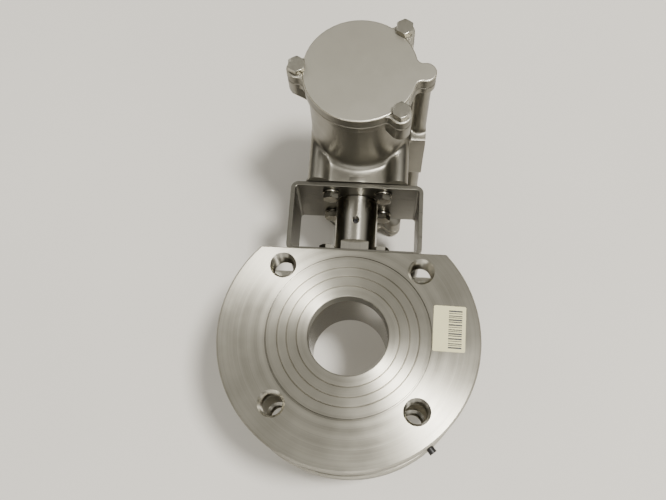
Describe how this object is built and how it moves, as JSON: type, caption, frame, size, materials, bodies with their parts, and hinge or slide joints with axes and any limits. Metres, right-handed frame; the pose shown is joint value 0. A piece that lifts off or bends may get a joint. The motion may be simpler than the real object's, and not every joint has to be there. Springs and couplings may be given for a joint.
{
  "type": "pneumatically actuated flanged ball valve",
  "caption": "Compact wafer flanged full-bore ball valve in stainless steel, with a box bracket, shaft coupling and quarter-turn rack-and-pinion pneumatic actuator",
  "frame": {"origin": "bottom centre of the box around the whole valve, lying on its rear side with the front flange facing up", "axes": "+Z is the bore axis, out of the front flange face; +Y is the stem axis, from the ball to the actuator; +X is towards the air ports"},
  "size_m": [0.165, 0.2814, 0.2016],
  "materials": {
    "machined_steel": "turned and faced stainless casting, fine lathe lines, satin",
    "cast_steel": "bead-blasted and polished stainless casting, soft satin",
    "bracket_steel": "bent stainless sheet, lightly brushed",
    "bright_steel": "bright machined stainless bar",
    "seat_plastic": "white fluoropolymer",
    "graphite": "pressed graphite",
    "black_oxide": "blackened alloy steel, slightly oily",
    "piston_metal": "die-cast aluminium, as cast",
    "seal_rubber": "black nitrile rubber",
    "bearing_plastic": "cream acetal",
    "spring_steel": "dark spring steel",
    "indicator_plastic": "moulded yellow plastic"
  },
  "bodies": {
    "valve_frame": {"actuator_housing": "cast_steel", "body_seal": "graphite", "earth_screw": "black_oxide", "front_cap_bolt_1": "bright_steel", "front_cap_bolt_2": "bright_steel", "front_cap_bolt_3": "bright_steel", "front_cap_seal": "seal_rubber", "front_end_cap": "cast_steel", "front_seat": "seat_plastic", "gland_follower": "bright_steel", "lower_bracket_bolt_1": "bright_steel", "lower_bracket_bolt_2": "bright_steel", "lower_bracket_bolt_3": "bright_steel", "lower_bracket_bolt_4": "bright_steel", "lower_disc_spring": "spring_steel", "lower_shaft_bush": "bearing_plastic", "lower_shaft_seal": "seal_rubber", "mounting_bracket": "bracket_steel", "rear_cap_bolt_1": "bright_steel", "rear_cap_bolt_2": "bright_steel", "rear_cap_bolt_3": "bright_steel", "rear_cap_seal": "seal_rubber", "rear_end_cap": "cast_steel", "rear_seat": "seat_plastic", "seat_retainer": "machined_steel", "shaft_thrust_washer": "bearing_plastic", "stem_packing": "graphite", "stem_thrust_washer": "seat_plastic", "upper_bracket_bolt_1": "bright_steel", "upper_bracket_bolt_2": "bright_steel", "upper_bracket_bolt_3": "bright_steel", "upper_bracket_bolt_4": "bright_steel", "upper_bracket_washer_1": "bright_steel", "upper_bracket_washer_2": "bright_steel", "upper_bracket_washer_3": "bright_steel", "upper_bracket_washer_4": "bright_steel", "upper_disc_spring": "spring_steel", "upper_shaft_bush": "bearing_plastic", "upper_shaft_seal": "seal_rubber", "valve_body": "machined_steel"},
    "drive_train": {"ball": "bright_steel", "stem": "bright_steel", "gland_nut": "black_oxide", "coupling": "bright_steel", "coupling_set_screw": "black_oxide", "pinion_shaft": "bright_steel", "shaft_circlip": "spring_steel", "position_indicator": "indicator_plastic"},
    "front_piston_body": {"front_piston": "piston_metal", "front_piston_seal": "seal_rubber", "front_piston_band": "bearing_plastic", "front_guide_pad": "bearing_plastic"},
    "rear_piston_body": {"rear_piston": "piston_metal", "rear_piston_seal": "seal_rubber", "rear_piston_band": "bearing_plastic", "rear_guide_pad": "bearing_plastic"}
  },
  "joints": [
    {"name": "drive_turn", "type": "hinge", "parent": "valve_frame", "child": "drive_train", "pos_m": [0, 0, 0.1008], "axis": [0, -1, 0], "range_deg": [0, 90]},
    {"name": "front_piston_slide", "type": "slide", "parent": "valve_frame", "child": "front_piston_body", "axis": [0, 0, -1], "range_m": [0, 0.0158]},
    {"name": "rear_piston_slide", "type": "slide", "parent": "valve_frame", "child": "rear_piston_body", "axis": [0, 0, 1], "range_m": [0, 0.0158]}
  ],
  "couplings": [
    {"joint": "front_piston_slide", "follows": "drive_turn", "m_per_rad": 0.01},
    {"joint": "rear_piston_slide", "follows": "drive_turn", "m_per_rad": 0.01}
  ]
}
